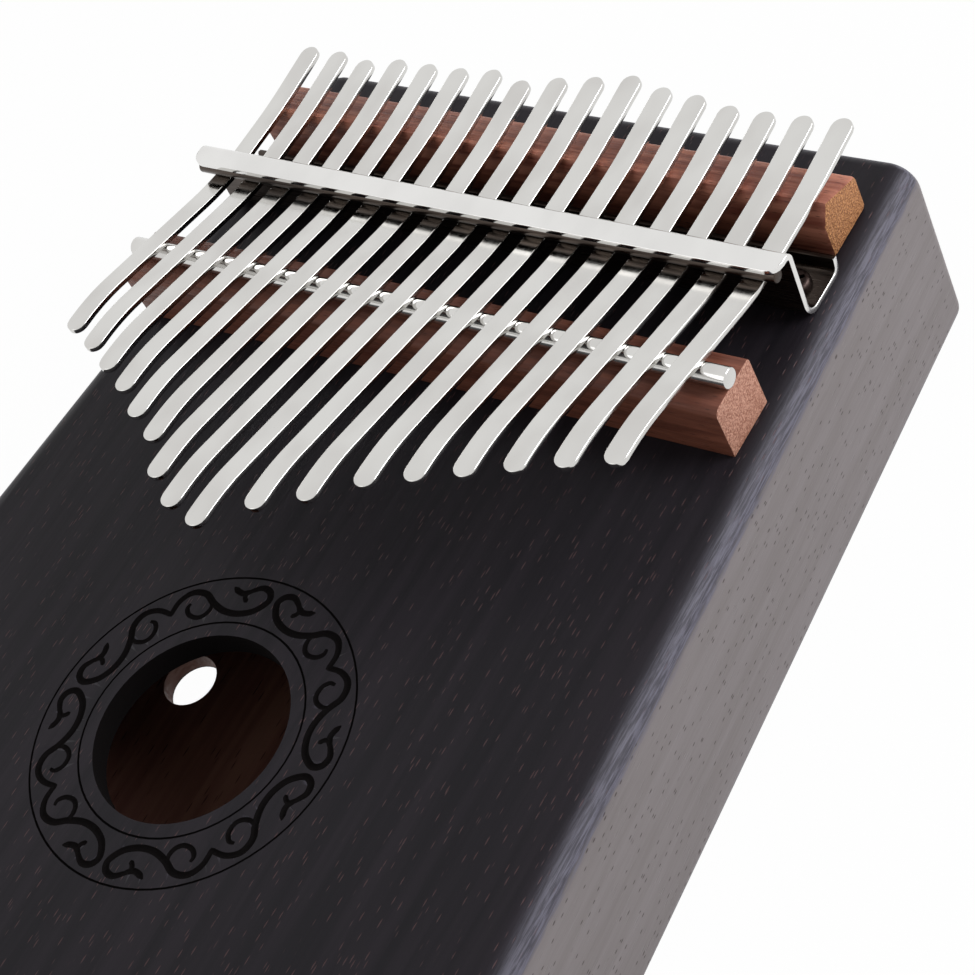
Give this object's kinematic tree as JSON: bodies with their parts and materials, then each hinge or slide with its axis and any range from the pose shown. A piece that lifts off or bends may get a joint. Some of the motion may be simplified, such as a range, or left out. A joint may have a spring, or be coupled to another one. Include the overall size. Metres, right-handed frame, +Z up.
{
  "type": "thumb piano",
  "caption": "Box mbira with spring-steel tines clamped across a dark wooden sound box with an engraved round sound hole.",
  "frame": {"origin": "middle of the flat back, midway between the tuning end and the playing end", "axes": "+Z up out of the soundboard, +Y toward the tuning end, +X to the right of a player looking at the soundboard with the tuning end away"},
  "size_m": [0.1414, 0.1818, 0.0603],
  "materials": {
    "stained_mahogany": "satin black-brown stain, fine open pores along Y, engraved lines near black",
    "stained_mahogany_back": "satin black-brown stain",
    "raw_mahogany": "unfinished, matte",
    "red_hardwood": "oiled red-brown hardwood, sawn end grain",
    "rough_hardwood": "oiled red-brown hardwood, rough sawn end grain",
    "plated_rod": "bright nickel plate",
    "plated_sheet": "bright nickel plate on folded sheet",
    "screw_steel": "zinc-plated steel",
    "tine_steel": "bright nickel-plated spring steel"
  },
  "bodies": {
    "frame": {"body_shell": "stained_mahogany", "back_plate": "stained_mahogany_back", "bridge_block": "raw_mahogany", "front_bridge": "red_hardwood", "front_rod": "plated_rod", "rear_bridge": "rough_hardwood", "bracket": "plated_sheet", "pressing_rod": "plated_rod", "bracket_screws": "screw_steel", "tine_01_d6_shank": "tine_steel", "tine_02_b5_shank": "tine_steel", "tine_03_g5_shank": "tine_steel", "tine_04_e5_shank": "tine_steel", "tine_05_c5_shank": "tine_steel", "tine_06_a4_shank": "tine_steel", "tine_07_f4_shank": "tine_steel", "tine_08_d4_shank": "tine_steel", "tine_09_c4_shank": "tine_steel", "tine_10_e4_shank": "tine_steel", "tine_11_g4_shank": "tine_steel", "tine_12_b4_shank": "tine_steel", "tine_13_d5_shank": "tine_steel", "tine_14_f5_shank": "tine_steel", "tine_15_a5_shank": "tine_steel", "tine_16_c6_shank": "tine_steel", "tine_17_e6_shank": "tine_steel"},
    "tongue_01_d6": {"tine_01_d6_tongue": "tine_steel"},
    "tongue_02_b5": {"tine_02_b5_tongue": "tine_steel"},
    "tongue_03_g5": {"tine_03_g5_tongue": "tine_steel"},
    "tongue_04_e5": {"tine_04_e5_tongue": "tine_steel"},
    "tongue_05_c5": {"tine_05_c5_tongue": "tine_steel"},
    "tongue_06_a4": {"tine_06_a4_tongue": "tine_steel"},
    "tongue_07_f4": {"tine_07_f4_tongue": "tine_steel"},
    "tongue_08_d4": {"tine_08_d4_tongue": "tine_steel"},
    "tongue_09_c4": {"tine_09_c4_tongue": "tine_steel"},
    "tongue_10_e4": {"tine_10_e4_tongue": "tine_steel"},
    "tongue_11_g4": {"tine_11_g4_tongue": "tine_steel"},
    "tongue_12_b4": {"tine_12_b4_tongue": "tine_steel"},
    "tongue_13_d5": {"tine_13_d5_tongue": "tine_steel"},
    "tongue_14_f5": {"tine_14_f5_tongue": "tine_steel"},
    "tongue_15_a5": {"tine_15_a5_tongue": "tine_steel"},
    "tongue_16_c6": {"tine_16_c6_tongue": "tine_steel"},
    "tongue_17_e6": {"tine_17_e6_tongue": "tine_steel"}
  },
  "joints": [
    {"name": "pluck_01_d6", "type": "hinge", "parent": "frame", "child": "tongue_01_d6", "pos_m": [-0.05296, 0.0364, 0.04775], "axis": [1, 0, 0], "range_deg": [-2, 3], "stiffness_Nm_per_rad": 7.74},
    {"name": "pluck_02_b5", "type": "hinge", "parent": "frame", "child": "tongue_02_b5", "pos_m": [-0.04634, 0.0364, 0.04775], "axis": [1, 0, 0], "range_deg": [-2, 3], "stiffness_Nm_per_rad": 6.87},
    {"name": "pluck_03_g5", "type": "hinge", "parent": "frame", "child": "tongue_03_g5", "pos_m": [-0.03972, 0.0364, 0.04775], "axis": [1, 0, 0], "range_deg": [-2, 3], "stiffness_Nm_per_rad": 6.06},
    {"name": "pluck_04_e5", "type": "hinge", "parent": "frame", "child": "tongue_04_e5", "pos_m": [-0.0331, 0.0364, 0.04775], "axis": [1, 0, 0], "range_deg": [-2, 3], "stiffness_Nm_per_rad": 5.44},
    {"name": "pluck_05_c5", "type": "hinge", "parent": "frame", "child": "tongue_05_c5", "pos_m": [-0.02648, 0.0364, 0.04775], "axis": [1, 0, 0], "range_deg": [-2, 3], "stiffness_Nm_per_rad": 4.8},
    {"name": "pluck_06_a4", "type": "hinge", "parent": "frame", "child": "tongue_06_a4", "pos_m": [-0.01986, 0.0364, 0.04775], "axis": [1, 0, 0], "range_deg": [-2, 3], "stiffness_Nm_per_rad": 4.38},
    {"name": "pluck_07_f4", "type": "hinge", "parent": "frame", "child": "tongue_07_f4", "pos_m": [-0.01324, 0.0364, 0.04775], "axis": [1, 0, 0], "range_deg": [-2, 3], "stiffness_Nm_per_rad": 3.77},
    {"name": "pluck_08_d4", "type": "hinge", "parent": "frame", "child": "tongue_08_d4", "pos_m": [-0.00662, 0.0364, 0.04775], "axis": [1, 0, 0], "range_deg": [-2, 3], "stiffness_Nm_per_rad": 3.45},
    {"name": "pluck_09_c4", "type": "hinge", "parent": "frame", "child": "tongue_09_c4", "pos_m": [0, 0.0364, 0.04775], "axis": [1, 0, 0], "range_deg": [-2, 3], "stiffness_Nm_per_rad": 3.32},
    {"name": "pluck_10_e4", "type": "hinge", "parent": "frame", "child": "tongue_10_e4", "pos_m": [0.00662, 0.0364, 0.04775], "axis": [1, 0, 0], "range_deg": [-2, 3], "stiffness_Nm_per_rad": 3.74},
    {"name": "pluck_11_g4", "type": "hinge", "parent": "frame", "child": "tongue_11_g4", "pos_m": [0.01324, 0.0364, 0.04775], "axis": [1, 0, 0], "range_deg": [-2, 3], "stiffness_Nm_per_rad": 4.09},
    {"name": "pluck_12_b4", "type": "hinge", "parent": "frame", "child": "tongue_12_b4", "pos_m": [0.01986, 0.0364, 0.04775], "axis": [1, 0, 0], "range_deg": [-2, 3], "stiffness_Nm_per_rad": 4.66},
    {"name": "pluck_13_d5", "type": "hinge", "parent": "frame", "child": "tongue_13_d5", "pos_m": [0.02648, 0.0364, 0.04775], "axis": [1, 0, 0], "range_deg": [-2, 3], "stiffness_Nm_per_rad": 5.11},
    {"name": "pluck_14_f5", "type": "hinge", "parent": "frame", "child": "tongue_14_f5", "pos_m": [0.0331, 0.0364, 0.04775], "axis": [1, 0, 0], "range_deg": [-2, 3], "stiffness_Nm_per_rad": 5.63},
    {"name": "pluck_15_a5", "type": "hinge", "parent": "frame", "child": "tongue_15_a5", "pos_m": [0.03972, 0.0364, 0.04775], "axis": [1, 0, 0], "range_deg": [-2, 3], "stiffness_Nm_per_rad": 6.29},
    {"name": "pluck_16_c6", "type": "hinge", "parent": "frame", "child": "tongue_16_c6", "pos_m": [0.04634, 0.0364, 0.04775], "axis": [1, 0, 0], "range_deg": [-2, 3], "stiffness_Nm_per_rad": 7.07},
    {"name": "pluck_17_e6", "type": "hinge", "parent": "frame", "child": "tongue_17_e6", "pos_m": [0.05296, 0.0364, 0.04775], "axis": [1, 0, 0], "range_deg": [-2, 3], "stiffness_Nm_per_rad": 7.99}
  ]
}
